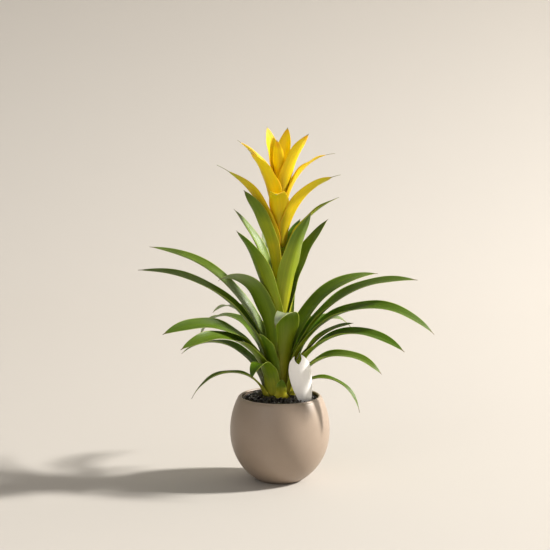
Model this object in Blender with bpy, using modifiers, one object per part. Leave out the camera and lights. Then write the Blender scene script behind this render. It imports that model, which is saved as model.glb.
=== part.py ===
"""A potted yellow bromeliad: a round ceramic pot, its grower's liner pot and compost, and the
plant itself, a stem that carries green strap leaves in a rosette, green scape leaves above them
and yellow bracts at the top. A blank plant label stands in the compost.

Metres, +Z up. The origin is the centre of the pot's flat underside, and +X is the plant's right
as seen from its front, which faces -Y.
"""

import math
from collections import namedtuple

import bmesh
import bpy
from mathutils import Matrix, Vector, noise

# ---- ceramic pot -------------------------------------------------------------------------
POT_HEIGHT = 0.137
POT_BELLY_RADIUS = 0.0797
POT_BELLY_HEIGHT = 0.080
POT_FOOT_RADIUS = 0.034
POT_RIM_RADIUS = 0.0655
POT_WALL = 0.0045
POT_FLOOR = 0.007
POT_SIDES = 44
POT_RINGS = 7               # rings between foot and belly, and between belly and rim

# ---- grower's liner pot ------------------------------------------------------------------
FIT_GAP = 0.0004            # between pieces that rest on or fit in each other
LINER_WALL = 0.0010
LINER_MOUTH_GAP = 0.0012    # between the liner's lip and the mouth of the ceramic pot
LINER_BELOW_RIM = 0.0045
LINER_LIP = 0.0014          # how far the lip stands out from the liner's wall
LINER_LIP_HEIGHT = 0.005
LINER_SIDES = 36
DRAIN_HOLES = 5
DRAIN_HOLE_RADIUS = 0.004

# ---- compost -----------------------------------------------------------------------------
COMPOST_BELOW_LINER = 0.002
COMPOST_MOUND = 0.005       # how much higher the compost is at the plant than at the liner
COMPOST_RINGS = 5
COMPOST_LUMP = 0.0010

# ---- stem --------------------------------------------------------------------------------
CROWN_MARGIN = 0.0024       # how far the crown reaches beyond its outermost layer of leaves
ROOTSTOCK_DEPTH = 0.012     # how far the rootstock goes down below the crown's foot
CROWN_BURIED = 0.004        # how deep the crown's foot lies in the mound
CROWN_HEIGHT = 0.024        # height of the domed crown that the rosette leaves stand on
STEM_RADIUS = 0.0072
STEM_TOP_RADIUS = 0.0034
STEM_HEIGHT = 0.3685        # from the crown's foot to the top of the flower stem
STEM_SIDES = 12

# ---- leaves ------------------------------------------------------------------------------
LEAF_THICKNESS = 0.0009
FIRST_LAYER_RADIUS = 0.0105
LAYER_PITCH = 0.0021        # radial distance between one layer of leaf sheaths and the next
SHEATH_HALF_ANGLE = 40.0    # degrees of the stem that half a rosette leaf's sheath wraps
SHEATH_SHARE = 0.30         # share of a rosette leaf's length over which its sheath narrows
CLASP_HALF_ANGLE = 80.0     # the same as the sheath's, for a leaf or bract on the flower stem
HEEL = 40.0                 # how much less steeply those start out, in degrees
HEEL_LENGTH = 0.008
OPENING_SHARE = 0.25        # share of a leaf's length before it has its own channel
LEAF_TIP = 0.0008           # half width of the blunt tip
LEAF_STEPS = 12
BRACT_STEPS = 9
LEAF_ACROSS = 4
ARC_STEPS = 8               # integration steps of the midrib between two rings of the blade

# azimuth: the way it grows, 0 = right, 90 = back, 180 = left, 270 = front, in degrees
# start:   its layer in the rosette, 0 innermost, or how far up the flower stem it grows, from
#          the crown's foot, as a share of the stem's height
# launch:  steepness where it leaves the stem; bend: how far it arches over by its tip
# curl:    1 for an even arch, more where the arch is towards the tip
# twist:   how far the blade has turned about its midrib at the tip
# sweep:   how far its azimuth has turned at the tip
# cup:     half angle of the channel across the blade
Leaf = namedtuple("Leaf", "name azimuth start length width launch bend curl twist sweep cup")

ROSETTE = (
    Leaf("leaf_left_front_tall", 212, 0, 0.240, 0.042, 85, 116, 3.2, 40, 0, 36),
    Leaf("leaf_right_back_tall", 22, 0, 0.262, 0.040, 86, 92, 1.3, 20, 0, 36),
    Leaf("leaf_left_upper", 168, 1, 0.324, 0.034, 84, 82, 1.2, -20, 0, 40),
    Leaf("leaf_front_centre", 302, 1, 0.186, 0.042, 85, 175, 3.5, 0, -85, 34),
    Leaf("leaf_back_right", 82, 1, 0.250, 0.036, 85, 84, 1.3, 0, 0, 34),
    Leaf("leaf_left_middle", 186, 2, 0.314, 0.036, 86, 88, 1.0, -20, 0, 40),
    Leaf("leaf_right_upper", 355, 2, 0.300, 0.040, 84, 92, 1.1, 20, 0, 38),
    Leaf("leaf_back_middle", 98, 2, 0.270, 0.036, 84, 102, 1.2, 0, 0, 34),
    Leaf("leaf_left_back_grey", 143, 3, 0.228, 0.030, 80, 158, 1.6, 0, 0, 36),
    Leaf("leaf_right_middle", 347, 3, 0.318, 0.040, 85, 133, 1.1, 20, 0, 38),
    Leaf("leaf_front_left_inner", 243, 3, 0.120, 0.022, 84, 60, 1.5, 0, 0, 36),
    Leaf("leaf_left_low_upper", 207, 4, 0.246, 0.040, 82, 106, 1.0, -35, 0, 38),
    Leaf("leaf_right_back_low", 41, 4, 0.206, 0.032, 82, 137, 1.5, 20, 0, 36),
    Leaf("leaf_back_low_left", 121, 4, 0.260, 0.030, 81, 115, 1.0, 0, 0, 36),
    Leaf("leaf_right_inner_low", 340, 5, 0.165, 0.030, 81, 72, 1.2, 20, 0, 38),
    Leaf("leaf_left_low_lower", 218, 5, 0.226, 0.036, 81, 109, 1.0, -30, 0, 38),
    Leaf("leaf_back_low_right", 75, 5, 0.250, 0.030, 80, 120, 0.9, 0, 0, 36),
    Leaf("leaf_right_front_low", 334, 6, 0.252, 0.036, 83, 121, 1.0, 20, 0, 38),
    Leaf("leaf_back_lowest", 100, 6, 0.220, 0.026, 78, 130, 0.9, 0, 0, 36),
    Leaf("leaf_front_left_curled", 240, 7, 0.110, 0.030, 82, 170, 2.0, 0, 0, 34),
    Leaf("leaf_right_front_lowest", 342, 7, 0.184, 0.030, 79, 128, 1.0, 20, 0, 38),
    Leaf("leaf_back_left_lowest", 150, 7, 0.200, 0.026, 78, 120, 0.9, 0, 0, 36),
    Leaf("leaf_left_drooping", 193, 8, 0.150, 0.018, 80, 145, 0.8, 0, 0, 38),
    Leaf("leaf_basal_scale", 274, 9, 0.036, 0.018, 87, 30, 1.6, 0, 0, 36),
    Leaf("leaf_right_drooping", 343, 8, 0.145, 0.018, 76, 158, 0.8, 0, 0, 38),
)

SCAPE_LEAVES = (
    Leaf("scape_leaf_back", 76, 0.1995, 0.215, 0.032, 83, 60, 1.3, 0, 0, 42),
    Leaf("scape_leaf_front_left", 228, 0.2456, 0.218, 0.040, 83, 46, 1.5, 0, 0, 42),
    Leaf("scape_leaf_right", 32, 0.2673, 0.208, 0.036, 84, 46, 1.6, 10, 0, 42),
    Leaf("scape_leaf_front_right", 308, 0.3216, 0.205, 0.042, 84, 36, 1.6, 0, 0, 42),
    Leaf("scape_leaf_back_left", 113, 0.3541, 0.152, 0.030, 83, 48, 1.6, 0, 0, 42),
    Leaf("scape_leaf_left", 156, 0.3813, 0.180, 0.034, 83, 40, 1.4, 0, 0, 42),
    Leaf("scape_leaf_back_right", 62, 0.4437, 0.138, 0.028, 83, 50, 1.5, 0, 0, 42),
    Leaf("bract_leaf_left", 205, 0.5251, 0.158, 0.034, 84, 37, 1.6, 45, 0, 46),
    Leaf("bract_leaf_right", 6, 0.5984, 0.140, 0.022, 83, 62, 0.9, 0, 0, 46),
)

BRACTS = (
    Leaf("bract_left_lower", 190, 0.6418, 0.176, 0.038, 82, 58, 1.3, 30, 0, 56),
    Leaf("bract_right_lower", 350, 0.6635, 0.158, 0.042, 85, 74, 1.3, -35, 0, 56),
    Leaf("bract_front_lower", 264, 0.6961, 0.108, 0.040, 84, 110, 2.8, 0, 0, 56),
    Leaf("bract_back_lower", 95, 0.7178, 0.100, 0.034, 82, 70, 1.6, 0, 0, 56),
    Leaf("bract_front_upper", 222, 0.7503, 0.146, 0.042, 83, 47, 1.6, 0, 0, 60),
    Leaf("bract_right_upper", 15, 0.7992, 0.140, 0.032, 84, 84, 1.4, -20, 0, 56),
    Leaf("bract_left_upper", 165, 0.8100, 0.135, 0.034, 84, 54, 1.4, 0, 0, 56),
    Leaf("bract_right_top", 332, 0.8318, 0.130, 0.038, 84, 34, 1.5, -20, 0, 60),
    Leaf("bract_left_top", 135, 0.8589, 0.120, 0.038, 85, 12, 1.4, 0, 0, 60),
    Leaf("bract_back_top", 62, 0.8860, 0.108, 0.034, 86, 14, 1.4, 0, 0, 60),
    Leaf("bract_top_inner", 255, 0.9186, 0.079, 0.024, 87, 12, 1.4, 0, 0, 60),
)

# ---- plant label -------------------------------------------------------------------------
LABEL_AZIMUTH = -38.0       # degrees, the way it stands from the plant
LABEL_INSET = 0.0036          # from the compost's edge in to the label's spike
LABEL_HEIGHT = 0.083
LABEL_HALF_WIDTH = 0.0200
LABEL_FOOT_HALF_WIDTH = 0.0085
LABEL_NOTCH = 0.015
LABEL_NOTCH_PLACE = -0.1    # across the top, as a share of the half width
LABEL_NOTCH_SPREAD = 0.5
LABEL_ROUND = 0.055         # how steeply the top's corners fall away beside the notch
LABEL_THICKNESS = 0.0010
LABEL_CURVE_RADIUS = 0.026
LABEL_TURN = 18.0           # degrees its face is turned to the right of the front
LABEL_LEAN = 9.0           # degrees to the left
LABEL_PITCH = 10.0           # degrees towards the front
LABEL_SPIKE = 0.012
LABEL_SPIKE_HALF_WIDTH = 0.0030
LABEL_SPIKE_TOP = 0.003     # heights over the compost's edge where the spike ends
LABEL_SHOULDER = 0.005      # and where the card has its full foot width
LABEL_ROWS = 9
LABEL_ACROSS = 10

# ---- colours: red, green, blue, roughness ------------------------------------------------
CERAMIC = (0.42, 0.35, 0.29, 0.45)
LINER_PLASTIC = (0.02, 0.02, 0.022, 0.40)
COMPOST = (0.020, 0.014, 0.010, 0.90)
STEM_GREEN = (0.16, 0.26, 0.05, 0.50)
LEAF_GREEN = (0.07, 0.19, 0.02, 0.35)
BRACT_YELLOW = (0.85, 0.55, 0.02, 0.40)
LABEL_WHITE = (0.82, 0.80, 0.78, 0.50)

LINER_TOP = POT_HEIGHT - LINER_BELOW_RIM
LINER_RADIUS = POT_RIM_RADIUS - POT_WALL - LINER_MOUTH_GAP
COMPOST_TOP = LINER_TOP - COMPOST_BELOW_LINER
CROWN_BASE = COMPOST_TOP + COMPOST_MOUND - CROWN_BURIED
OUTER_LAYER = max(leaf.start for leaf in ROSETTE)
ROOTSTOCK_RADIUS = FIRST_LAYER_RADIUS + LAYER_PITCH * OUTER_LAYER + CROWN_MARGIN
STEM_TOP = CROWN_BASE + STEM_HEIGHT


def clear_scene():
    for obj in list(bpy.data.objects):
        bpy.data.objects.remove(obj, do_unlink=True)


def new_collection(name):
    made = bpy.data.collections.new(name)
    bpy.context.scene.collection.children.link(made)
    return made


def new_material(name, colour):
    material = bpy.data.materials.new(name)
    material.use_nodes = True
    shader = material.node_tree.nodes["Principled BSDF"]
    shader.inputs["Base Color"].default_value = (*colour[:3], 1.0)
    shader.inputs["Roughness"].default_value = colour[3]
    shader.inputs["Metallic"].default_value = 0.0
    return material


def new_object(name, bm, collection, material=None):
    mesh = bpy.data.meshes.new(name)
    bm.to_mesh(mesh)
    bm.free()
    obj = bpy.data.objects.new(name, mesh)
    collection.objects.link(obj)
    if material:
        mesh.materials.append(material)
    return obj


def turned(name, profile, sides, collection, material=None):
    """A solid of revolution; the profile runs down its outer side, from the axis to the axis."""
    bm = bmesh.new()
    points = [bm.verts.new((radius, 0.0, height)) for radius, height in profile]
    for first, second in zip(points, points[1:]):
        bm.edges.new((first, second))
    obj = new_object(name, bm, collection, material)
    screw = obj.modifiers.new("Turned", "SCREW")
    screw.steps = sides
    screw.render_steps = sides
    screw.use_merge_vertices = True
    screw.merge_threshold = 0.00001
    return obj


def add_boolean(obj, cutter):
    cut = obj.modifiers.new("Cut " + cutter.name, "BOOLEAN")
    cut.operation = "DIFFERENCE"
    cut.solver = "EXACT"
    cut.object = cutter


def hide_cutter(obj):
    obj.hide_render = True
    obj.display_type = "WIRE"
    return obj


# ---- pot, liner, compost -----------------------------------------------------------------
def pot_radius(height):
    """Outer radius of the pot: one ellipse from foot to belly, another from belly to rim."""
    if height < POT_BELLY_HEIGHT:
        reach, end_radius = POT_BELLY_HEIGHT, POT_FOOT_RADIUS
    else:
        reach, end_radius = POT_HEIGHT - POT_BELLY_HEIGHT, POT_RIM_RADIUS
    share = (height - POT_BELLY_HEIGHT) / reach
    narrowing = 1.0 - (end_radius / POT_BELLY_RADIUS) ** 2
    return POT_BELLY_RADIUS * math.sqrt(1.0 - narrowing * share ** 2)


def pot_inner_radius(height):
    slope = (pot_radius(height + 0.0005) - pot_radius(height - 0.0005)) / 0.001
    return pot_radius(height) - POT_WALL * math.hypot(1.0, slope)


def heights_between(low, high, count):
    """Heights from low to high, closer together near the foot, where the pot curves most."""
    return [low + (high - low) * (step / count) ** 1.5 for step in range(count + 1)]


def build_pot(collection):
    lower = heights_between(POT_WALL / 3, POT_BELLY_HEIGHT, POT_RINGS)
    upper = [
        POT_BELLY_HEIGHT + (POT_HEIGHT - POT_WALL / 2 - POT_BELLY_HEIGHT) * step / POT_RINGS
        for step in range(1, POT_RINGS + 1)
    ]
    outside = [(pot_radius(height), height) for height in lower + upper]
    inner_heights = heights_between(POT_FLOOR, POT_BELLY_HEIGHT, POT_RINGS) + upper
    inside = [(0.0, POT_FLOOR), (pot_inner_radius(POT_FLOOR) - 0.003, POT_FLOOR)]
    inside += [(pot_inner_radius(height), height) for height in inner_heights[1:]]
    lip_middle = (pot_inner_radius(POT_HEIGHT - 0.001) + POT_RIM_RADIUS) / 2
    lip = [
        (lip_middle + POT_WALL / 2 * math.cos(math.radians(angle)),
         POT_HEIGHT - POT_WALL / 2 + POT_WALL / 2 * math.sin(math.radians(angle)))
        for angle in (150, 120, 90, 60, 30)
    ]
    foot = [(POT_FOOT_RADIUS, 0.0), (0.0, 0.0)]
    profile = inside + lip + outside[::-1] + foot
    return turned("pot", profile, POT_SIDES, collection, new_material("pot ceramic", CERAMIC))


def liner_foot_radius():
    return pot_inner_radius(POT_FLOOR + FIT_GAP) - 0.004


def liner_radius(height):
    """Outer radius of the liner's tapering wall."""
    foot = POT_FLOOR + FIT_GAP
    share = (height - foot) / (LINER_TOP - foot)
    wall_top = LINER_RADIUS - LINER_LIP
    return liner_foot_radius() + (wall_top - liner_foot_radius()) * share


def build_liner(collection, cutters):
    foot = POT_FLOOR + FIT_GAP
    lip_bottom = LINER_TOP - LINER_LIP_HEIGHT
    profile = (
        (0.0, foot + LINER_WALL),
        (liner_radius(foot) - LINER_WALL, foot + LINER_WALL),
        (liner_radius(LINER_TOP) - LINER_WALL, LINER_TOP),
        (LINER_RADIUS, LINER_TOP),
        (LINER_RADIUS, lip_bottom),
        (liner_radius(lip_bottom), lip_bottom),
        (liner_radius(foot), foot),
        (0.0, foot),
    )
    liner = turned("nursery_liner", profile, LINER_SIDES, collection,
                   new_material("liner plastic", LINER_PLASTIC))
    bm = bmesh.new()
    for hole in range(DRAIN_HOLES):
        angle = math.tau * hole / DRAIN_HOLES
        place = Matrix.Rotation(angle, 4, "Z") @ Matrix.Translation(
            (liner_foot_radius() * 0.6, 0.0, foot))
        bmesh.ops.create_cone(bm, cap_ends=True, segments=10, radius1=DRAIN_HOLE_RADIUS,
                              radius2=DRAIN_HOLE_RADIUS, depth=LINER_WALL * 6, matrix=place)
    holes = hide_cutter(new_object("drain_holes", bm, cutters))
    add_boolean(liner, holes)
    return liner


def compost_edge_radius():
    return liner_radius(COMPOST_TOP) - LINER_WALL - FIT_GAP


def build_compost(collection, rootstock_hole, label_slots):
    bottom = POT_FLOOR + FIT_GAP + LINER_WALL + FIT_GAP
    gap = LINER_WALL + FIT_GAP
    flat = ROOTSTOCK_RADIUS + 0.004
    edge = compost_edge_radius()
    rings = [flat + (edge - flat) * ring / COMPOST_RINGS for ring in range(COMPOST_RINGS + 1)]
    profile = [(0.0, CROWN_BASE)]
    profile += [
        (radius, COMPOST_TOP + COMPOST_MOUND * ((edge - radius) / (edge - flat)) ** 2)
        for radius in rings
    ]
    profile += [(liner_radius(bottom) - gap, bottom), (0.0, bottom)]
    bm = bmesh.new()
    points = [bm.verts.new((radius, 0.0, height)) for radius, height in profile]
    edges = [bm.edges.new(pair) for pair in zip(points, points[1:])]
    bmesh.ops.spin(bm, geom=points + edges, cent=(0, 0, 0), axis=(0, 0, 1), steps=LINER_SIDES,
                   angle=math.tau, use_merge=True)
    bmesh.ops.remove_doubles(bm, verts=bm.verts, dist=0.00001)
    bmesh.ops.recalc_face_normals(bm, faces=bm.faces)
    for vert in bm.verts:
        radius = math.hypot(vert.co.x, vert.co.y)
        if vert.co.z > COMPOST_TOP - 0.0001 and flat + 0.001 < radius < edge - 0.001:
            vert.co.z += COMPOST_LUMP * noise.noise(vert.co * 160.0)
    compost = new_object("compost", bm, collection, new_material("compost", COMPOST))
    add_boolean(compost, rootstock_hole)
    for slot in label_slots:
        add_boolean(compost, slot)
    return compost


# ---- stem --------------------------------------------------------------------------------
def crown_height(radius):
    """Height of the domed crown, which the rosette leaves stand on, at a radius."""
    return CROWN_BASE + CROWN_HEIGHT * (1.0 - (radius / ROOTSTOCK_RADIUS) ** 2)


def stem_radius(height):
    foot = crown_height(STEM_RADIUS)
    share = min(max((height - foot) / (STEM_TOP - foot), 0.0), 1.0)
    return STEM_RADIUS + (STEM_TOP_RADIUS - STEM_RADIUS) * share


def build_stem(collection, cutters):
    foot = crown_height(STEM_RADIUS)
    rise = STEM_TOP - foot
    profile = [(0.0, STEM_TOP), (STEM_TOP_RADIUS, STEM_TOP - 0.0015)]
    profile += [(stem_radius(foot + rise * share), foot + rise * share) for share in (0.66, 0.33)]
    steps = [STEM_RADIUS + (ROOTSTOCK_RADIUS - STEM_RADIUS) * step / 7 for step in range(8)]
    profile += [(radius, crown_height(radius)) for radius in steps]
    bottom = CROWN_BASE - ROOTSTOCK_DEPTH
    profile += [(ROOTSTOCK_RADIUS * 0.8, bottom), (0.0, bottom)]
    stem = turned("stem", profile, STEM_SIDES * 2, collection,
                  new_material("stem", STEM_GREEN))
    hole_profile = (
        (0.0, CROWN_BASE + 0.02),
        (ROOTSTOCK_RADIUS + FIT_GAP * 2, CROWN_BASE + 0.02),
        (ROOTSTOCK_RADIUS + FIT_GAP * 2, CROWN_BASE),
        (ROOTSTOCK_RADIUS * 0.8 + FIT_GAP * 2, bottom - FIT_GAP),
        (0.0, bottom - FIT_GAP),
    )
    hole = hide_cutter(turned("rootstock_hole", hole_profile, STEM_SIDES * 2, cutters))
    return stem, hole


# ---- leaves ------------------------------------------------------------------------------
def on_flower_stem(leaf):
    return 0 < leaf.start < 1


def leaf_start(leaf):
    """Radius and height of a leaf's base: on the flower stem, or in its layer on the crown."""
    if on_flower_stem(leaf):
        height = CROWN_BASE + leaf.start * STEM_HEIGHT
        return stem_radius(height) + FIT_GAP + LEAF_THICKNESS / 2, height
    radius = FIRST_LAYER_RADIUS + LAYER_PITCH * leaf.start
    return radius, crown_height(radius - LEAF_THICKNESS) + FIT_GAP


def midrib(leaf, steps):
    """Rings of the blade: place, direction, heading and share of the length along the midrib."""
    radius, height = leaf_start(leaf)
    outward = Matrix.Rotation(math.radians(leaf.azimuth), 3, "Z") @ Vector((1, 0, 0))
    place = outward * radius + Vector((0, 0, height))
    heel = HEEL if on_flower_stem(leaf) else 0.0
    rings = []
    fine = steps * ARC_STEPS
    for step in range(fine + 1):
        share = step / fine
        start_out = heel * max(1.0 - share * leaf.length / HEEL_LENGTH, 0.0)
        rise = math.radians(leaf.launch - leaf.bend * share ** leaf.curl - start_out)
        heading = math.radians(leaf.azimuth + leaf.sweep * share ** 2)
        direction = Vector((math.cos(rise) * math.cos(heading),
                            math.cos(rise) * math.sin(heading), math.sin(rise)))
        if step % ARC_STEPS == 0:
            rings.append((place.copy(), direction, heading, share))
        place = place + direction * (leaf.length / fine)
    return rings


def blade_half_width(leaf, share, from_axis):
    """Half width: a sheath round the stem at the base, the blade, and a point at the tip."""
    blade = leaf.width / 2 * (1.0 - share ** 3.2) ** 0.9
    if on_flower_stem(leaf):
        return max(min(blade, math.radians(CLASP_HALF_ANGLE) * from_axis), LEAF_TIP)
    wrap = math.radians(SHEATH_HALF_ANGLE)
    fade = max(1.0 - share / SHEATH_SHARE, 0.0) ** 2
    sheath = wrap * leaf_start(leaf)[0]
    blade += max(sheath - blade, 0.0) * fade
    return max(min(blade, wrap * from_axis), LEAF_TIP)


def build_leaf(leaf, steps, collection, colour):
    bm = bmesh.new()
    bmesh.ops.create_grid(bm, x_segments=LEAF_ACROSS, y_segments=steps, size=1.0)
    rings = midrib(leaf, steps)
    for vert in bm.verts:
        across = vert.co.x
        place, direction, heading, share = rings[round((vert.co.y + 1) / 2 * steps)]
        side = Vector((-math.sin(heading), math.cos(heading), 0.0))
        inward = side.cross(direction) * -1.0
        turn = Matrix.Rotation(math.radians(leaf.twist) * share, 3, direction)
        side = turn @ side
        inward = turn @ inward
        from_axis = max(math.hypot(place.x, place.y), 0.002)
        half_width = blade_half_width(leaf, share, from_axis)
        channel = leaf.width / 2 / math.radians(leaf.cup)
        opening = min(share / OPENING_SHARE, 1.0)
        bend_radius = from_axis + (min(from_axis, channel) - from_axis) * opening
        angle = across * half_width / bend_radius
        vert.co = (place + side * bend_radius * math.sin(angle)
                   + inward * bend_radius * (1.0 - math.cos(angle)))
    bmesh.ops.recalc_face_normals(bm, faces=bm.faces)
    obj = new_object(leaf.name, bm, collection, new_material(leaf.name, colour))
    solid = obj.modifiers.new("Thickness", "SOLIDIFY")
    solid.thickness = LEAF_THICKNESS
    solid.offset = 0.0
    solid.use_even_offset = True
    return obj


# ---- plant label -------------------------------------------------------------------------
def label_half_width(height):
    """Half width of the label's petal shape at a height above the compost."""
    share = max(height / LABEL_HEIGHT, 0.0)
    swell = math.sin(math.pi * min(share / 0.62, 1.0) / 2)
    shoulder = 1.0 - 0.45 * max((share - 0.62) / 0.38, 0.0) ** 2
    return (LABEL_FOOT_HALF_WIDTH + (LABEL_HALF_WIDTH - LABEL_FOOT_HALF_WIDTH) * swell) * shoulder


def label_stand():
    """Where the label stands: leaning to the left and towards the front, its face turned."""
    place = Matrix.Rotation(math.radians(LABEL_AZIMUTH), 3, "Z") @ Vector(
        (compost_edge_radius() - LABEL_INSET, 0.0, COMPOST_TOP))
    return (Matrix.Translation(place)
            @ Matrix.Rotation(math.radians(-LABEL_LEAN), 4, "Y")
            @ Matrix.Rotation(math.radians(LABEL_PITCH), 4, "X")
            @ Matrix.Rotation(math.radians(LABEL_TURN), 4, "Z"))


def label_sheet(bm):
    """A petal-shaped card, notched at the top and bent backwards, on a flat spike."""
    rows = LABEL_ROWS + 2
    bmesh.ops.create_grid(bm, x_segments=LABEL_ACROSS, y_segments=rows, size=1.0)
    stand = label_stand()
    for vert in bm.verts:
        across = vert.co.x
        row = round((vert.co.y + 1) / 2 * rows)
        if row < 2:
            half_width = LABEL_SPIKE_HALF_WIDTH * (0.3 + 0.7 * row)
            height = LABEL_SPIKE_TOP if row else -LABEL_SPIKE
            vert.co = stand @ Vector((across * half_width, 0.0, height))
            continue
        beside = abs(across - LABEL_NOTCH_PLACE) - LABEL_NOTCH_SPREAD
        notch = LABEL_NOTCH * max(-beside, 0.0) / LABEL_NOTCH_SPREAD
        top = LABEL_HEIGHT - notch - LABEL_ROUND * max(beside, 0.0) ** 2
        height = LABEL_SHOULDER + (top - LABEL_SHOULDER) * (row - 2) / LABEL_ROWS
        angle = across * label_half_width(height) / LABEL_CURVE_RADIUS
        vert.co = stand @ Vector((LABEL_CURVE_RADIUS * math.sin(angle),
                                  LABEL_CURVE_RADIUS * (1.0 - math.cos(angle)), height))


def build_label(collection, cutters):
    bm = bmesh.new()
    label_sheet(bm)
    label = new_object("plant_label", bm, collection, new_material("label", LABEL_WHITE))
    solid = label.modifiers.new("Thickness", "SOLIDIFY")
    solid.thickness = LABEL_THICKNESS
    solid.offset = 0.0
    solid.use_even_offset = True
    bm = bmesh.new()
    slot_width = (LABEL_SPIKE_HALF_WIDTH + FIT_GAP * 3) * 2
    bmesh.ops.create_cube(bm, size=1.0, matrix=label_stand() @ Matrix.Diagonal(
        (slot_width, LABEL_THICKNESS + FIT_GAP * 2, (LABEL_SPIKE + FIT_GAP) * 2, 1.0)))
    slot = hide_cutter(new_object("label_slot", bm, cutters))
    angle = LABEL_FOOT_HALF_WIDTH / LABEL_CURVE_RADIUS
    depth = LABEL_CURVE_RADIUS * (1.0 - math.cos(angle)) + LABEL_THICKNESS + FIT_GAP * 2
    bm = bmesh.new()
    bmesh.ops.create_cube(bm, size=1.0, matrix=label_stand() @ Matrix.Translation(
        (0.0, (depth - LABEL_THICKNESS) / 2 - FIT_GAP, LABEL_HEIGHT / 2 + LABEL_SPIKE_TOP)
    ) @ Matrix.Diagonal(
        ((LABEL_FOOT_HALF_WIDTH + FIT_GAP * 3) * 2, depth, LABEL_HEIGHT, 1.0)))
    foot_slot = hide_cutter(new_object("label_foot_slot", bm, cutters))
    return label, (slot, foot_slot)


def main():
    clear_scene()
    bpy.context.scene.unit_settings.system = "METRIC"
    plant = new_collection("potted_bromeliad")
    cutters = new_collection("cutters")
    build_pot(plant)
    build_liner(plant, cutters)
    stem, hole = build_stem(plant, cutters)
    label_slots = build_label(plant, cutters)[1]
    build_compost(plant, hole, label_slots)
    for leaf in ROSETTE:
        build_leaf(leaf, LEAF_STEPS, plant, LEAF_GREEN)
    for leaf in SCAPE_LEAVES:
        build_leaf(leaf, LEAF_STEPS, plant, LEAF_GREEN)
    for leaf in BRACTS:
        build_leaf(leaf, BRACT_STEPS, plant, BRACT_YELLOW)


main()
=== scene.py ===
"""The looks of a potted yellow bromeliad, built around its fixed frame.

A glazed taupe pot holds a grower's liner pot filled with bark compost. The plant grows from it: a
rosette of green strap leaves, leaves on the flower stem above them, and golden bracts at the top.
A blank white plant label stands in the compost. Metres, +Z up, origin under the pot's middle.
"""

import logging
import random
from dataclasses import dataclass
from enum import Enum
from functools import cache
from math import copysign, cos, exp, hypot, pi, radians, sin, sqrt, tau
from typing import Any

import bmesh
import bpy
from bmesh.types import BMesh
from bpy.types import Material, Node, NodeSocket, NodeTree, Object
from mathutils import Matrix, Vector, noise


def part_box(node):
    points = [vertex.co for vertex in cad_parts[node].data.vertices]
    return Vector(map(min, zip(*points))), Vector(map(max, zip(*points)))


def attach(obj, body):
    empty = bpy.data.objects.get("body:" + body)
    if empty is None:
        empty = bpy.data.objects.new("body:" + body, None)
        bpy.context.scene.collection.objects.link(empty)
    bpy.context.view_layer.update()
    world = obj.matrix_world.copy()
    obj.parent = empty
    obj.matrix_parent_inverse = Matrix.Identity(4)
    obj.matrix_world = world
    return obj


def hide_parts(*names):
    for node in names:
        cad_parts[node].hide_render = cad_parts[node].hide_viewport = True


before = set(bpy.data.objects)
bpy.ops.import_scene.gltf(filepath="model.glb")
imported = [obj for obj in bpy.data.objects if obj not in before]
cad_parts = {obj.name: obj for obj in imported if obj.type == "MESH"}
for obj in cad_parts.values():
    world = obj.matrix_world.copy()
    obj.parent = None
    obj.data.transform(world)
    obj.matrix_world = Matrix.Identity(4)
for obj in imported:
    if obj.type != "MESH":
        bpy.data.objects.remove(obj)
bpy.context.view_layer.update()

LOG = logging.getLogger("bromeliad")
BODY = "root"
# Per-vertex marks of a blade; the third is the strength of a pale tint near the tip, a painted
# reflection.
BLADE_MARKS = ("tone", "green", "painted_sheen", "pale", "thread")


# ---- small helpers ----
def srgb(code: str) -> tuple[float, float, float, float]:
    """Turns a web colour into linear light.

    Args:
        code: Six hexadecimal digits, red first.

    Returns:
        Red, green, blue and an alpha of 1.
    """
    channels = [int(code[place:place + 2], 16) / 255 for place in (0, 2, 4)]
    linear = [
        value / 12.92 if value <= 0.04045 else ((value + 0.055) / 1.055) ** 2.4
        for value in channels
    ]
    return (linear[0], linear[1], linear[2], 1.0)


def smoothstep(low: float, high: float, value: float) -> float:
    """Rises smoothly from 0 at low to 1 at high."""
    share = min(max((value - low) / (high - low), 0.0), 1.0)
    return share * share * (3 - 2 * share)


def make_piece(name: str, bm: BMesh, materials: list[Material],
               smooth: bool = True) -> Object:
    """Turns a finished bmesh into an object at the origin.

    Args:
        name: The piece's name.
        bm: Its mesh, which is freed.
        materials: One for each material index that the faces use.
        smooth: Whether its faces are shaded smooth.

    Returns:
        The new object.
    """
    for face in bm.faces:
        face.smooth = smooth
    mesh = bpy.data.meshes.new(name)
    bm.to_mesh(mesh)
    bm.free()
    for material in materials:
        mesh.materials.append(material)
    piece = bpy.data.objects.new(name, mesh)
    bpy.context.scene.collection.objects.link(piece)
    return piece


def hand_over(piece: Object, slot: str, *nodes: str) -> None:
    """Makes a piece part of the object.

    Args:
        piece: The finished piece.
        slot: Not used.
        nodes: The frame's nodes that it stands for.
    """
    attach(piece, BODY)
    if nodes:
        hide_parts(*nodes)
    LOG.info("%s: %d faces", piece.name, len(piece.data.polygons))


def spun(profile: list[tuple[float, float]], steps: int) -> BMesh:
    """Turns an outline about the Z axis into a closed solid.

    Args:
        profile: Radius and height of each point, from the axis round to the axis.
        steps: Number of faces round.

    Returns:
        The solid, with its faces pointing out.
    """
    bm = bmesh.new()
    points = [bm.verts.new((radius, 0.0, height)) for radius, height in profile]
    edges = [bm.edges.new(pair) for pair in zip(points, points[1:])]
    bmesh.ops.spin(bm, geom=points + edges, cent=(0, 0, 0), axis=(0, 0, 1), steps=steps,
                   angle=tau, use_merge=True)
    bmesh.ops.remove_doubles(bm, verts=bm.verts, dist=0.00001)
    bmesh.ops.recalc_face_normals(bm, faces=bm.faces)
    return bm


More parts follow.
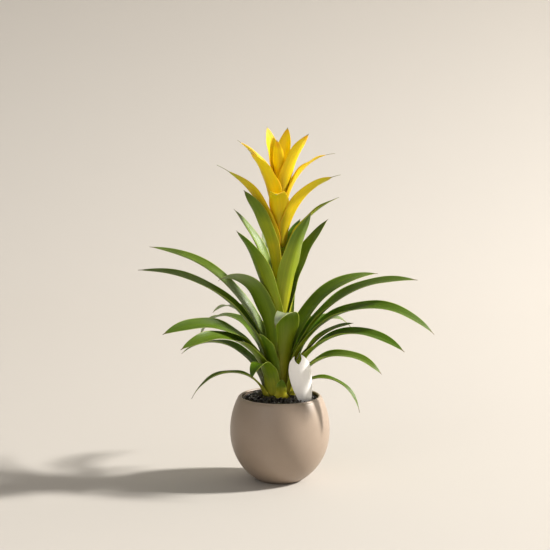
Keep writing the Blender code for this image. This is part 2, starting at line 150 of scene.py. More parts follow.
# ---- shader nodes ----
class NodeBench:
    """A node tree with short calls that add nodes and wire them."""

    def __init__(self, tree: NodeTree) -> None:
        """Works on the given tree."""
        self.tree = tree

    def put(self, socket: NodeSocket, value: Any) -> None:
        """Links a socket, or sets it where the value is a plain one.

        Args:
            socket: The input to feed.
            value: Another node's output, or a number, vector or colour.
        """
        if isinstance(value, NodeSocket):
            self.tree.links.new(value, socket)
        else:
            socket.default_value = value

    def add(self, kind: str, inputs: dict[Any, Any] | None = None,
            **settings: Any) -> Node:
        """Adds a node.

        Args:
            kind: Its Blender type.
            inputs: Values or sockets, by input name or number.
            settings: Its own properties.

        Returns:
            The node.
        """
        node = self.tree.nodes.new(kind)
        for name, value in settings.items():
            setattr(node, name, value)
        for name, value in (inputs or {}).items():
            self.put(node.inputs[name], value)
        return node

    def math(self, operation: str, first: Any, second: Any = 0.0,
             clamp: bool = False) -> NodeSocket:
        """Works on two values; clamp keeps the result from 0 to 1."""
        return self.add("ShaderNodeMath", {0: first, 1: second}, operation=operation,
                        use_clamp=clamp).outputs[0]

    def times(self, first: Any, second: Any) -> NodeSocket:
        """Multiplies two values."""
        return self.math("MULTIPLY", first, second)

    def plus(self, first: Any, second: Any) -> NodeSocket:
        """Adds two values."""
        return self.math("ADD", first, second)

    def span(self, value: Any, low: float, high: float, to_low: float = 0.0,
             to_high: float = 1.0) -> NodeSocket:
        """Maps low to high smoothly onto to_low to to_high, and stops at both ends."""
        return self.add("ShaderNodeMapRange", {0: value, 1: low, 2: high, 3: to_low, 4: to_high},
                        interpolation_type="SMOOTHSTEP").outputs[0]

    def mix(self, share: Any, first: Any, second: Any,
            blend: str = "MIX") -> NodeSocket:
        """Mixes a share of the second colour into the first."""
        return self.add("ShaderNodeMix", {0: share, 6: first, 7: second}, data_type="RGBA",
                        blend_type=blend).outputs[2]

    def ramp(self, value: Any, stops: list[tuple[float, Any]]) -> NodeSocket:
        """Reads a colour from a row of stops.

        Args:
            value: The place along the row.
            stops: Place and colour of each stop.

        Returns:
            The colour's socket.
        """
        node = self.add("ShaderNodeValToRGB", {0: value})
        node.color_ramp.interpolation = "EASE"
        elements = node.color_ramp.elements
        while len(elements) < len(stops):
            elements.new(1.0)
        for element, (place, colour) in zip(elements, stops):
            element.position = place
            element.color = colour
        return node.outputs[0]

    def noise(self, vector: Any, scale: float, detail: float) -> NodeSocket:
        """Reads a noise texture, whose values lie about 0.5."""
        inputs = {"Vector": vector, "Scale": scale, "Detail": detail, "Roughness": 0.55}
        return self.add("ShaderNodeTexNoise", inputs).outputs[0]

    def scaled(self, vector: Any, scale: tuple[float, float, float]) -> NodeSocket:
        """Multiplies a vector by another, one axis at a time."""
        return self.add("ShaderNodeVectorMath", {0: vector, 1: scale},
                        operation="MULTIPLY").outputs[0]

    def bump(self, height: Any, strength: float, distance: float) -> NodeSocket:
        """Turns a height into a normal."""
        return self.add("ShaderNodeBump", {"Height": height, "Strength": strength,
                                           "Distance": distance}).outputs[0]


class SharedEffects:
    """Node groups that several finishes use, each built once."""

    def __init__(self) -> None:
        """Builds every group."""
        self.veins = self._veins()
        self.margin = self._margin()
        self.clouds = self._clouds()

    @staticmethod
    def _group(name: str, inputs: dict[str, float | None],
               outputs: tuple[str, ...]) -> tuple[NodeBench, Any, Any]:
        """Starts a node group.

        Args:
            name: The group's name.
            inputs: Default of each input by name, or None for a vector.
            outputs: Name of each output, all plain numbers.

        Returns:
            A bench on the group, the sockets of its inputs and those of its outputs.
        """
        tree = bpy.data.node_groups.new(name, "ShaderNodeTree")
        for label, default in inputs.items():
            kind = "NodeSocketVector" if default is None else "NodeSocketFloat"
            socket = tree.interface.new_socket(label, in_out="INPUT", socket_type=kind)
            if default is not None:
                socket.default_value = default
        for label in outputs:
            tree.interface.new_socket(label, in_out="OUTPUT", socket_type="NodeSocketFloat")
        bench = NodeBench(tree)
        return bench, bench.add("NodeGroupInput").outputs, bench.add("NodeGroupOutput").inputs

    def _veins(self) -> NodeTree:
        """Fine lines that run along a blade, and broader stripes between them."""
        bench, given, result = self._group(
            "Blade veins", {"Blade": None, "Count": 60.0, "Tone": 0.0}, ("Fine", "Broad"))
        parts = bench.add("ShaderNodeSeparateXYZ", {0: given["Blade"]}).outputs
        shift = bench.times(given["Tone"], 13.0)
        for label, thinner, length in (("Fine", 1.0, 2.4), ("Broad", 0.16, 1.1)):
            across = bench.times(bench.times(parts[0], given["Count"]), thinner)
            place = bench.add("ShaderNodeCombineXYZ",
                              {0: across, 1: bench.times(parts[1], length), 2: shift})
            lines = bench.noise(place.outputs[0], 1.0, 1.5)
            bench.put(result[label], bench.span(lines, 0.34, 0.66))
        return bench.tree

    def _margin(self) -> NodeTree:
        """A narrow line along both edges of a blade."""
        bench, given, result = self._group(
            "Blade margin", {"Blade": None, "Width": 0.03}, ("Margin",))
        across = bench.add("ShaderNodeSeparateXYZ", {0: given["Blade"]}).outputs[0]
        off_middle = bench.math("ABSOLUTE", bench.math("SUBTRACT", across, 0.5))
        from_edge = bench.math("SUBTRACT", 0.5, off_middle)
        inside = bench.math("DIVIDE", from_edge, given["Width"], clamp=True)
        bench.put(result["Margin"], bench.span(inside, 0.3, 1.0, 1.0, 0.0))
        return bench.tree

    def _clouds(self) -> NodeTree:
        """Soft blotches in space, and fine grains over them."""
        bench, given, result = self._group(
            "Clouds and grains", {"Place": None, "Cloud size": 0.02, "Grain size": 0.0008},
            ("Clouds", "Grains"))
        for label, size, low, high in (("Clouds", "Cloud size", 0.3, 0.7),
                                       ("Grains", "Grain size", 0.35, 0.65)):
            scale = bench.math("DIVIDE", 1.0, given[size])
            texture = bench.add("ShaderNodeTexNoise",
                                {"Vector": given["Place"], "Scale": scale, "Detail": 2.0})
            bench.put(result[label], bench.span(texture.outputs[0], low, high))
        return bench.tree


@cache
def shared_effects() -> SharedEffects:
    """The node groups that every finish shares, built the first time they are asked for."""
    return SharedEffects()


class Finish:
    """A material under way: its bench, its Principled shader and the coordinates it reads."""

    def __init__(self, name: str) -> None:
        """Starts an empty material of that name."""
        self.material = bpy.data.materials.new(name)
        self.material.use_nodes = True
        self.bench = NodeBench(self.material.node_tree)
        self.shader = self.material.node_tree.nodes["Principled BSDF"]
        self.effects = shared_effects()
        self.place = self.bench.add("ShaderNodeTexCoord").outputs["Object"]

    def shade(self, **inputs: Any) -> Material:
        """Feeds the Principled shader.

        Args:
            inputs: Values or sockets, by input name with underscores for spaces.

        Returns:
            The finished material.
        """
        for name, value in inputs.items():
            self.bench.put(self.shader.inputs[name.replace("_", " ")], value)
        return self.material

    def effect(self, tree: NodeTree, **inputs: Any) -> Node:
        """Places a shared effect.

        Args:
            tree: The effect's node group.
            inputs: Its values, by input name with underscores for spaces.

        Returns:
            The group's node.
        """
        node = self.bench.add("ShaderNodeGroup", node_tree=tree)
        for name, value in inputs.items():
            self.bench.put(node.inputs[name.replace("_", " ")], value)
        return node

    def mottle(self, cloud_size: float,
               grain_size: float) -> tuple[NodeSocket, NodeSocket]:
        """Reads the shared clouds and grains at these sizes."""
        outputs = self.effect(self.effects.clouds, Place=self.place, Cloud_size=cloud_size,
                              Grain_size=grain_size).outputs
        return outputs["Clouds"], outputs["Grains"]


class BladeSide(Enum):
    """Which face of a leaf or bract."""

    UPPER = "upper"
    UNDER = "under"


@dataclass(frozen=True)
class BladeFinish:
    """Colours of a leaf or bract along its length, and how it shines."""

    name: str
    upper: tuple[tuple[float, str], ...]
    under: tuple[tuple[float, str], ...]
    margin: str
    yellow: str
    thread: str
    veins: float
    roughness: float
    glow: float
    green: str = "4E7A20"
    # Colour of the pale tint near the tip, a painted reflection of the blade's gloss.
    painted_sheen: str = "B2BA9C"

    def material(self, side: BladeSide) -> Material:
        """Builds the material of one side.

        Args:
            side: Which side.

        Returns:
            The material.
        """
        finish = Finish(f"{self.name} {side.value} side")
        bench = finish.bench
        blade = bench.add("ShaderNodeUVMap", uv_map="blade").outputs[0]
        along = bench.add("ShaderNodeSeparateXYZ", {0: blade}).outputs[1]
        tone, green, painted_sheen, pale, thread = [
            bench.add("ShaderNodeAttribute", attribute_name=label).outputs["Fac"]
            for label in BLADE_MARKS
        ]
        veins = finish.effect(finish.effects.veins, Blade=blade, Count=70.0, Tone=tone).outputs
        margin = finish.effect(finish.effects.margin, Blade=blade, Width=0.035).outputs[0]
        clouds, grains = finish.mottle(0.022, 0.0012)
        wander = bench.times(bench.math("SUBTRACT", clouds, 0.5), 0.07)
        stops = self.upper if side is BladeSide.UPPER else self.under
        colour = bench.ramp(bench.plus(along, wander),
                            [(place, srgb(code)) for place, code in stops])
        past = bench.math("SUBTRACT", along, thread)
        for share, coat, blend in (
            (bench.times(tone, 0.20), srgb(self.margin), "MIX"),
            (bench.times(veins["Broad"], self.veins), (0.35, 0.40, 0.30, 1.0), "MULTIPLY"),
            (bench.times(veins["Fine"], self.veins * 0.8), (0.55, 0.62, 0.50, 1.0), "MULTIPLY"),
            (bench.times(bench.span(along, 0.50, 0.95), green), srgb(self.green), "MIX"),
            # Painted reflection: a pale tint over the outer part of the blade, where its gloss
            # would shine.
            (bench.times(bench.span(along, 0.66, 0.90), painted_sheen), srgb(self.painted_sheen), "MIX"),
            (bench.times(bench.span(along, 0.15, 0.75, 1.0, 0.0), pale), srgb(self.yellow), "MIX"),
            (bench.times(margin, 0.6), srgb(self.margin), "MIX"),
            (bench.span(past, -0.035, 0.004), srgb(self.thread), "MIX"),
        ):
            colour = bench.mix(share, colour, coat, blend)
        height = bench.plus(bench.times(veins["Fine"], 0.7), bench.times(grains, 0.3))
        duller = self.roughness + (0.08 if side is BladeSide.UNDER else 0.0)
        return finish.shade(
            Base_Color=colour, Roughness=bench.plus(bench.times(clouds, 0.12), duller),
            Normal=bench.bump(height, 0.35, 0.0003), Subsurface_Weight=self.glow,
            Subsurface_Radius=(0.6, 1.0, 0.15), Subsurface_Scale=0.0025,
            Specular_IOR_Level=0.30)


@dataclass(frozen=True)
class CeramicFinish:
    """A satin glaze over stoneware."""

    body: str = "A2907F"
    cloud: str = "93806F"
    speck: str = "6E5D50"

    def material(self) -> Material:
        """Builds the glaze."""
        finish = Finish("satin taupe glaze")
        bench = finish.bench
        clouds, grains = finish.mottle(0.045, 0.0011)
        rings = bench.noise(bench.scaled(finish.place, (3.0, 3.0, 190.0)), 1.0, 2.0)
        specks = bench.span(bench.noise(finish.place, 620.0, 1.0), 0.70, 0.78)
        colour = bench.mix(bench.times(clouds, 0.25), srgb(self.body), srgb(self.cloud))
        speckled = bench.mix(bench.times(specks, 0.45), colour, srgb(self.speck))
        height = bench.plus(bench.times(rings, 0.7), bench.times(grains, 0.3))
        return finish.shade(
            Base_Color=speckled, Roughness=bench.plus(bench.times(grains, 0.08), 0.40),
            Normal=bench.bump(height, 0.25, 0.0004), Coat_Weight=0.12, Coat_Roughness=0.35)


@dataclass(frozen=True)
class PlasticFinish:
    """A moulded plastic."""

    name: str
    body: str
    worn: str
    roughness: float

    def material(self) -> Material:
        """Builds the plastic."""
        finish = Finish(self.name)
        bench = finish.bench
        clouds, grains = finish.mottle(0.012, 0.0005)
        return finish.shade(
            Base_Color=bench.mix(bench.times(clouds, 0.5), srgb(self.body), srgb(self.worn)),
            Roughness=bench.plus(bench.times(grains, 0.12), self.roughness),
            Normal=bench.bump(grains, 0.15, 0.0002))


@dataclass(frozen=True)
class CompostFinish:
    """Damp bark and peat."""

    name: str
    dark: str
    light: str
    roughness: float
    grain: float
    wet: float = 0.0

    def material(self) -> Material:
        """Builds the compost or bark."""
        finish = Finish(self.name)
        bench = finish.bench
        clouds, grains = finish.mottle(0.006, self.grain)
        tone = bench.add("ShaderNodeAttribute", attribute_name="tone").outputs["Fac"]
        share = bench.times(bench.plus(clouds, tone), 0.5)
        return finish.shade(
            Base_Color=bench.mix(share, srgb(self.dark), srgb(self.light)),
            Roughness=bench.plus(bench.times(grains, 0.35), self.roughness),
            Normal=bench.bump(grains, 0.7, 0.0010), Coat_Weight=self.wet, Coat_Roughness=0.12)


@dataclass(frozen=True)
class StemFinish:
    """The crown's pale, ringed skin, which turns green up the flower stem."""

    buried: str = "1C140A"
    low: str = "7C7A22"
    high: str = "A8B228"
    dirt: str = "4E4720"

    def material(self) -> Material:
        """Builds the stem's skin."""
        finish = Finish("stem skin")
        bench = finish.bench
        height = bench.add("ShaderNodeSeparateXYZ", {0: finish.place}).outputs[2]
        clouds, grains = finish.mottle(0.008, 0.0009)
        grown = bench.mix(bench.span(height, 0.145, 0.185), srgb(self.low), srgb(self.high))
        colour = bench.mix(bench.span(height, 0.1365, 0.1395), srgb(self.buried), grown)
        return finish.shade(
            Base_Color=bench.mix(bench.times(clouds, 0.45), colour, srgb(self.dirt)),
            Roughness=0.5, Normal=bench.bump(grains, 0.4, 0.0005), Subsurface_Weight=0.1,
            Subsurface_Scale=0.003)


# ---- pot, liner, compost ----
@dataclass
class CeramicPot:
    """The glazed pot: a rounded bowl drawn in at the foot and at the mouth."""

    height: float
    belly_radius: float
    belly_height: float = 0.080
    foot_radius: float = 0.034
    rim_radius: float = 0.0655
    wall: float = 0.0045
    floor: float = 0.007
    foot_ring: float = 0.006
    recess: float = 0.0012
    wobble: float = 0.00018
    rings: int = 26
    sides: int = 144

    def radius(self, height: float) -> float:
        """Outer radius at a height."""
        low = height < self.belly_height
        reach = self.belly_height if low else self.height - self.belly_height
        end = self.foot_radius if low else self.rim_radius
        share = (height - self.belly_height) / reach
        narrowing = 1 - (end / self.belly_radius) ** 2
        return self.belly_radius * sqrt(1 - narrowing * share ** 2)

    def inner_radius(self, height: float) -> float:
        """Inner radius at a height."""
        slope = (self.radius(height + 0.0005) - self.radius(height - 0.0005)) / 0.001
        return self.radius(height) - self.wall * hypot(1, slope)

    def outline(self) -> list[tuple[float, float]]:
        """The turned outline.

        Returns:
            Radius and height of each point, from the inside of the floor to the underside.
        """
        top = self.height - self.wall / 2
        shares = [step / self.rings for step in range(self.rings + 1)]
        lower = [self.belly_height * share ** 1.5 for share in shares]
        upper = [self.belly_height + (top - self.belly_height) * share for share in shares[1:]]
        outside = [(self.radius(z), z) for z in lower if z > self.wall / 3]
        outside += [(self.radius(z), z) for z in upper]
        inside = [(0.0, self.floor), (self.inner_radius(self.floor) - 0.003, self.floor)]
        inside += [(self.inner_radius(z), z) for z in lower if z > self.floor + 0.001]
        inside += [(self.inner_radius(z), z) for z in upper]
        middle = (self.inner_radius(self.height - 0.001) + self.rim_radius) / 2
        lip = [
            (middle + self.wall / 2 * cos(radians(angle)),
             top + self.wall / 2 * sin(radians(angle)))
            for angle in range(165, 0, -15)
        ]
        ring = self.foot_radius - self.foot_ring
        foot = [(self.foot_radius + 0.0012, 0.0008), (self.foot_radius, 0.0), (ring, 0.0),
                (ring - 0.0008, self.recess), (0.0, self.recess)]
        return inside + lip + outside[::-1] + foot

    def build(self) -> None:
        """Builds and glazes the pot."""
        bm = spun(self.outline(), self.sides)
        for vert in bm.verts:
            outward = Vector((vert.co.x, vert.co.y, 0.0))
            if vert.co.z > self.recess * 2 and outward.length > 0.01:
                vert.co += outward.normalized() * self.wobble * noise.noise(vert.co * 22.0)
        piece = make_piece("pot_glazed", bm, [CeramicFinish().material()])
        piece.data.set_sharp_from_angle(angle=radians(50))
        hand_over(piece, "pot_ceramic", "pot")


@dataclass
class NurseryLiner:
    """The grower's thin black pot, with its lip and drain holes."""

    foot: float
    top: float
    lip_radius: float
    pot: CeramicPot
    wall: float = 0.0010
    lip: float = 0.0014
    lip_height: float = 0.005
    rounding: float = 0.0004
    hole_radius: float = 0.004
    holes: int = 5
    sides: int = 120

    def wall_radius(self, height: float) -> float:
        """Outer radius of the tapering wall at a height."""
        foot_radius = self.pot.inner_radius(self.foot) - 0.004
        share = (height - self.foot) / (self.top - self.foot)
        return foot_radius + (self.lip_radius - self.lip - foot_radius) * share

    def outline(self) -> list[tuple[float, float]]:
        """The turned outline, with a rounded lip."""
        foot, top, lip_foot = self.foot, self.top, self.top - self.lip_height
        outer, inner = self.lip_radius, self.wall_radius(top) - self.wall
        return [
            (0.0, foot + self.wall), (self.wall_radius(foot) - self.wall, foot + self.wall),
            (inner, top - 0.0003), (inner + 0.0003, top),
            (outer - self.rounding, top), (outer, top - self.rounding), (outer, lip_foot),
            (self.wall_radius(lip_foot), lip_foot), (self.wall_radius(foot), foot), (0.0, foot),
        ]

    def build(self) -> None:
        """Builds the liner and cuts its drain holes."""
        finish = PlasticFinish("liner plastic", "0B0B0C", "171718", 0.38)
        piece = make_piece("nursery_liner_moulded", spun(self.outline(), self.sides),
                           [finish.material()])
        bm = bmesh.new()
        for hole in range(self.holes):
            turn = Matrix.Rotation(tau * hole / self.holes, 4, "Z")
            out = Matrix.Translation((self.wall_radius(self.foot) * 0.6, 0.0, self.foot))
            bmesh.ops.create_cone(bm, cap_ends=True, segments=24, radius1=self.hole_radius,
                                  radius2=self.hole_radius, depth=self.wall * 6,
                                  matrix=turn @ out)
        cutter = make_piece("drain_hole_cutter", bm, [])
        cut = piece.modifiers.new("Drain holes", "BOOLEAN")
        cut.object = cutter
        cut.solver = "EXACT"
        graph = bpy.context.evaluated_depsgraph_get()
        piece.data = bpy.data.meshes.new_from_object(piece.evaluated_get(graph))
        piece.modifiers.clear()
        bpy.data.objects.remove(cutter)
        piece.data.set_sharp_from_angle(angle=radians(40))
        hand_over(piece, "liner_plastic", "nursery_liner")


@dataclass(frozen=True)
class Litter:
    """Loose bits of bark: how many, how long, and how far out they lie."""

    name: str
    count: int
    sizes: tuple[float, float]
    band: tuple[float, float]
    finish: CompostFinish


@dataclass
class Compost:
    """Bark compost: a lumpy filling with loose chips and crumbs on it."""

    bottom: float
    edge_height: float
    liner: NurseryLiner
    fit_gap: float = 0.0004
    mound: float = 0.005
    crown_radius: float = 0.0358
    lump: float = 0.0016
    chips: int = 330
    collar: int = 110
    crumbs: int = 480
    heap: float = 0.0045
    lift: float = 0.0012
    seed: int = 5

    def edge_radius(self) -> float:
        """Radius of the filling where it meets the liner."""
        return self.liner.wall_radius(self.edge_height) - self.liner.wall - self.fit_gap

    def surface(self, radius: float) -> float:
        """Height of the smooth mound at a radius."""
        edge = self.edge_radius()
        share = (edge - max(radius, self.crown_radius)) / (edge - self.crown_radius)
        return self.edge_height + self.mound * max(share, 0.0) ** 2

    def build_filling(self) -> None:
        """Builds the body of compost with a lumpy top."""
        edge = self.edge_radius()
        bottom_radius = self.liner.wall_radius(self.bottom) - self.liner.wall - self.fit_gap
        rings = [edge * step / 44 for step in range(45)]
        outline = [(radius, self.surface(radius)) for radius in rings]
        bm = spun(outline + [(bottom_radius, self.bottom), (0.0, self.bottom)], 150)
        for vert in bm.verts:
            if vert.co.z > self.edge_height - 0.0001:
                bumps = noise.noise(vert.co * 230) + 0.6 * noise.noise(vert.co * 620)
                inside = smoothstep(edge, edge - 0.003, hypot(vert.co.x, vert.co.y))
                vert.co.z += self.lump * bumps * inside
        finish = CompostFinish("damp compost", "050403", "1A120C", 0.35, 0.0012)
        piece = make_piece("compost_filling", bm, [finish.material()])
        hand_over(piece, "compost", "compost")

    def scatter(self, litter: Litter, draw: random.Random) -> None:
        """Lays loose bits of bark on the filling, as one piece, highest at the plant's foot.

        Args:
            litter: The bits.
            draw: Where the random numbers come from.
        """
        bm = bmesh.new()
        tone = bm.verts.layers.float.new("tone")
        for _ in range(litter.count):
            size = draw.uniform(*litter.sizes)
            high = min(litter.band[1], self.edge_radius() - size * 0.55)
            radius = sqrt(draw.uniform(litter.band[0] ** 2, high ** 2))
            angle = draw.uniform(0, tau)
            inside = smoothstep(self.edge_radius() + 0.002, self.crown_radius, radius)
            height = self.surface(radius) + self.heap * inside * draw.uniform(0.0, 0.7)
            height += self.lift + size * draw.uniform(0.05, 0.25)
            turn = Matrix.Rotation(draw.uniform(0, tau), 4, "Z")
            tip = Matrix.Rotation(draw.gauss(0, 0.45), 4, "X") @ Matrix.Rotation(
                draw.gauss(0, 0.35), 4, "Y")
            shape = Matrix.Diagonal((size, size * draw.uniform(0.45, 0.8),
                                     size * draw.uniform(0.22, 0.42), 1.0))
            place = Matrix.Translation((radius * cos(angle), radius * sin(angle),
                                        height))
            made = bmesh.ops.create_cube(bm, size=1.0)["verts"]
            edges = list({edge for vert in made for edge in vert.link_edges})
            bmesh.ops.subdivide_edges(bm, edges=edges, cuts=1, use_grid_fill=True)
            bit = [vert for vert in bm.verts if not vert.tag]
            shade = draw.random()
            for vert in bit:
                vert.tag = True
                vert[tone] = shade
                round_off = 0.5 / max(vert.co.length, 0.5)
                vert.co = vert.co * (0.35 + 0.65 * round_off)
                vert.co += Vector([draw.uniform(-0.11, 0.11) for _ in range(3)])
                vert.co = place @ turn @ tip @ shape @ vert.co
        piece = make_piece(litter.name, bm, [litter.finish.material()], smooth=False)
        hand_over(piece, "compost")

    def build(self) -> None:
        """Builds the filling, the chips and the crumbs."""
        self.build_filling()
        draw = random.Random(self.seed)
        chips = CompostFinish("wet bark", "060403", "2C1C10", 0.16, 0.0009, wet=0.6)
        crumbs = CompostFinish("bark crumbs", "070504", "3C2A1A", 0.28, 0.0006)
        foot = self.crown_radius - 0.0035
        rim = self.edge_radius()
        for litter in (
            Litter("bark_chips", self.chips, (0.0045, 0.0095), (foot, rim), chips),
            Litter("bark_collar", self.collar, (0.0035, 0.0070), (foot - 0.001, foot + 0.004),
                   chips),
            Litter("bark_crumbs", self.crumbs, (0.0015, 0.0035), (foot, rim), crumbs),
        ):
            self.scatter(litter, draw)


# ---- plant ----
@dataclass
class PlantStem:
    """The domed crown and the flower stem on it."""

    rootstock_radius: float
    foot: float
    top: float
    rootstock_depth: float = 0.012
    crown_rise: float = 0.024
    stalk_radius: float = 0.0072
    stalk_top_radius: float = 0.0034
    sides: int = 64

    def crown_height(self, radius: float) -> float:
        """Height of the dome at a radius."""
        base = self.foot + self.rootstock_depth
        return base + self.crown_rise * (1 - (radius / self.rootstock_radius) ** 2)

    def radius(self, height: float) -> float:
        """Radius of the flower stem at a height."""
        foot = self.crown_height(self.stalk_radius)
        share = min(max((height - foot) / (self.top - foot), 0.0), 1.0)
        return self.stalk_radius + (self.stalk_top_radius - self.stalk_radius) * share

    def build(self) -> None:
        """Builds the stem with a ring at each leaf scar."""
        foot = self.crown_height(self.stalk_radius)
        heights = [self.top - (self.top - foot) * step / 60 for step in range(1, 61)]
        outline = [(0.0, self.top), (self.stalk_top_radius * 0.7, self.top - 0.0006),
                   (self.stalk_top_radius, self.top - 0.003)]
        outline += [(self.radius(z) - 0.0002 * (step % 4 == 0), z)
                    for step, z in enumerate(heights) if z < self.top - 0.004]
        reach = self.rootstock_radius - self.stalk_radius
        crown = [self.stalk_radius + reach * step / 24 for step in range(25)]
        outline += [(radius, self.crown_height(radius) - 0.0006 * (step % 3 == 0))
                    for step, radius in enumerate(crown)]
        outline += [(self.rootstock_radius * 0.8, self.foot), (0.0, self.foot)]
        piece = make_piece("stem_and_crown", spun(outline, self.sides),
                           [StemFinish().material()])
        hand_over(piece, "stem", "stem")


class Whorl(Enum):
    """Where on the plant a blade grows, with its material slot."""

    ROSETTE = "rosette_leaf"
    SCAPE = "scape_leaf"
    BRACT_LEAF = "bract_leaf"
    BRACT = "bract"


@dataclass(frozen=True)
class Ring:
    """One cross-section's place on a midrib."""

    place: Vector
    direction: Vector
    heading: float
    share: float


@dataclass
class Blade:
    """A strap leaf or bract that grows along a curved midrib.

    azimuth is the way it grows, 0 right and 270 front, in degrees. start is its layer in the
    rosette, or how far up the flower stem as a share. launch is how steeply it leaves, bend
    how far it arches by its tip and curl how late. twist and sweep turn it by its tip, and cup is
    half the angle of its channel. dry is the share of its length that is a dry thread, green how
    much its outer part is green, painted_sheen how strongly its tip is tinted pale, a painted
    reflection of its gloss, and pale how yellow its base is.
    """

    name: str
    azimuth: float
    start: float
    length: float
    width: float
    launch: float
    bend: float
    curl: float
    cup: float
    twist: float = 0.0
    sweep: float = 0.0
    dry: float = 0.012
    green: float = 0.0
    # Strength of the pale tint near the tip, a painted reflection.
    painted_sheen: float = 0.0
    pale: float = 0.0


@dataclass
class BladeGrower:
    """Grows blades from the stem and dresses them."""

    stem: PlantStem
    thickness: float = 0.0009
    gap: float = 0.0004
    first_layer: float = 0.0105
    layer_pitch: float = 0.0021
    sheath_angle: float = 40.0
    sheath_share: float = 0.30
    clasp_angle: float = 80.0
    heel: float = 40.0
    heel_length: float = 0.008
    opening_share: float = 0.25
    across: int = 14
    leaf_steps: int = 96
    bract_steps: int = 72
    edge_crowding: float = 1.7
    groove: float = 0.0009
    groove_spread: float = 0.22
    ripple: float = 0.0012
    smooth_up_to: float = 0.18
    rippled_from: float = 0.45
    thread_half_width: float = 0.0007
    edge_thickness: float = 0.35

    def on_flower_stem(self, blade: Blade) -> bool:
        """Whether a blade grows above the rosette."""
        return 0 < blade.start < 1

    def base(self, blade: Blade) -> tuple[float, float]:
        """Radius and height of a blade's base."""
        if self.on_flower_stem(blade):
            crown_foot = self.stem.foot + self.stem.rootstock_depth
            height = crown_foot + blade.start * (self.stem.top - crown_foot)
            return self.stem.radius(height) + self.gap + self.thickness / 2, height
        radius = self.first_layer + self.layer_pitch * blade.start
        return radius, self.stem.crown_height(radius - self.thickness) + self.gap

    def midrib(self, blade: Blade, steps: int) -> list[Ring]:
        """Follows a blade's midrib from base to tip.

        Args:
            blade: The blade.
            steps: Number of steps.

        Returns:
            A ring at each step.
        """
        radius, height = self.base(blade)
        place = Matrix.Rotation(radians(blade.azimuth), 3, "Z") @ Vector((radius, 0, height))
        heel = self.heel if self.on_flower_stem(blade) else 0.0
        rings = []
        for step in range(steps + 1):
            share = step / steps
            start_out = heel * max(1 - share * blade.length / self.heel_length, 0.0)
            rise = radians(blade.launch - blade.bend * share ** blade.curl - start_out)
            heading = radians(blade.azimuth + blade.sweep * share ** 2)
            direction = Vector((cos(rise) * cos(heading), cos(rise) * sin(heading), sin(rise)))
            rings.append(Ring(place.copy(), direction, heading, share))
            place = place + direction * (blade.length / steps)
        return rings

    def half_width(self, blade: Blade, share: float, from_axis: float) -> float:
        """Half a blade's width.

        Args:
            blade: The blade.
            share: Share of its length.
            from_axis: Distance of its midrib from the plant's axis.

        Returns:
            Half the width there, in metres.
        """
        grown = min(share / (1 - blade.dry), 1.0)
        half = blade.width / 2 * (1 - grown ** 4.0) ** 0.82
        thread = self.thread_half_width - 0.0004 * smoothstep(1 - blade.dry, 1, share)
        if self.on_flower_stem(blade):
            return max(min(half, radians(self.clasp_angle) * from_axis), thread)
        wrap = radians(self.sheath_angle)
        fade = max(1 - share / self.sheath_share, 0.0) ** 2
        half += max(wrap * self.base(blade)[0] - half, 0.0) * fade
        return max(min(half, wrap * from_axis), thread)

    def grow(self, blade: Blade, whorl: Whorl, number: int, materials: list[Material]) -> None:
        """Builds a blade.

        Args:
            blade: The blade.
            whorl: Where it grows.
            number: Its number on the plant, which seeds its small irregularities.
            materials: Of its upper side and its under side.
        """
        steps = self.bract_steps if whorl is Whorl.BRACT else self.leaf_steps
        draw = random.Random(number * 17 + 3)
        tone = draw.uniform(0.0, 0.5)
        waves = draw.uniform(2.2, 4.0)
        phases = (draw.uniform(0, tau), draw.uniform(0, tau))
        bm = bmesh.new()
        unwrapped = bm.loops.layers.uv.new("blade")
        marks = [bm.verts.layers.float.new(label) for label in BLADE_MARKS]
        weights = bm.verts.layers.deform.new()
        bmesh.ops.create_grid(bm, x_segments=self.across, y_segments=steps, size=1.0)
        for vert in bm.verts:
            reach = abs(vert.co.x)
            vert.co.x = copysign(1 - (1 - reach) ** self.edge_crowding, vert.co.x)
        for face in bm.faces:
            for loop in face.loops:
                loop[unwrapped].uv = ((loop.vert.co.x + 1) / 2, (loop.vert.co.y + 1) / 2)
        rings = self.midrib(blade, steps)
        for vert in bm.verts:
            across = vert.co.x
            ring = rings[round((vert.co.y + 1) / 2 * steps)]
            side = Vector((-sin(ring.heading), cos(ring.heading), 0.0))
            inward = side.cross(ring.direction) * -1
            turn = Matrix.Rotation(radians(blade.twist) * ring.share, 3, ring.direction)
            side, inward = turn @ side, turn @ inward
            from_axis = max(hypot(ring.place.x, ring.place.y), 0.002)
            half = self.half_width(blade, ring.share, from_axis)
            channel = blade.width / 2 / radians(blade.cup)
            opening = min(ring.share / self.opening_share, 1.0)
            bend_radius = from_axis + (min(from_axis, channel) - from_axis) * opening
            angle = across * half / bend_radius
            free = smoothstep(self.smooth_up_to, self.rippled_from, ring.share)
            width_share = half / (blade.width / 2)
            crease = -self.groove * exp(-(across / self.groove_spread) ** 2) * free * width_share
            phase = phases[0] if across > 0 else phases[1]
            wave = sin(tau * waves * ring.share + phase)
            flutter = self.ripple * wave * abs(across) ** 3 * free * width_share
            lift = bend_radius * (1 - cos(angle)) + crease + flutter
            vert.co = ring.place + side * bend_radius * sin(angle) + inward * lift
            values = (tone, blade.green, blade.painted_sheen, blade.pale, 1 - blade.dry)
            for mark, value in zip(marks, values):
                vert[mark] = value
            vert[weights][0] = (1 - abs(across) ** 4) * (1 - 0.5 * ring.share ** 4)
        bmesh.ops.reverse_faces(bm, faces=bm.faces)
        piece = make_piece(f"{blade.name}_grown", bm, materials)
        piece.vertex_groups.new(name="thickness")
        solid = piece.modifiers.new("Thickness", "SOLIDIFY")
        solid.thickness = self.thickness
        solid.offset = 0.0
        solid.vertex_group = "thickness"
        solid.thickness_vertex_group = self.edge_thickness
        solid.material_offset = 1
        hand_over(piece, whorl.value, blade.name)


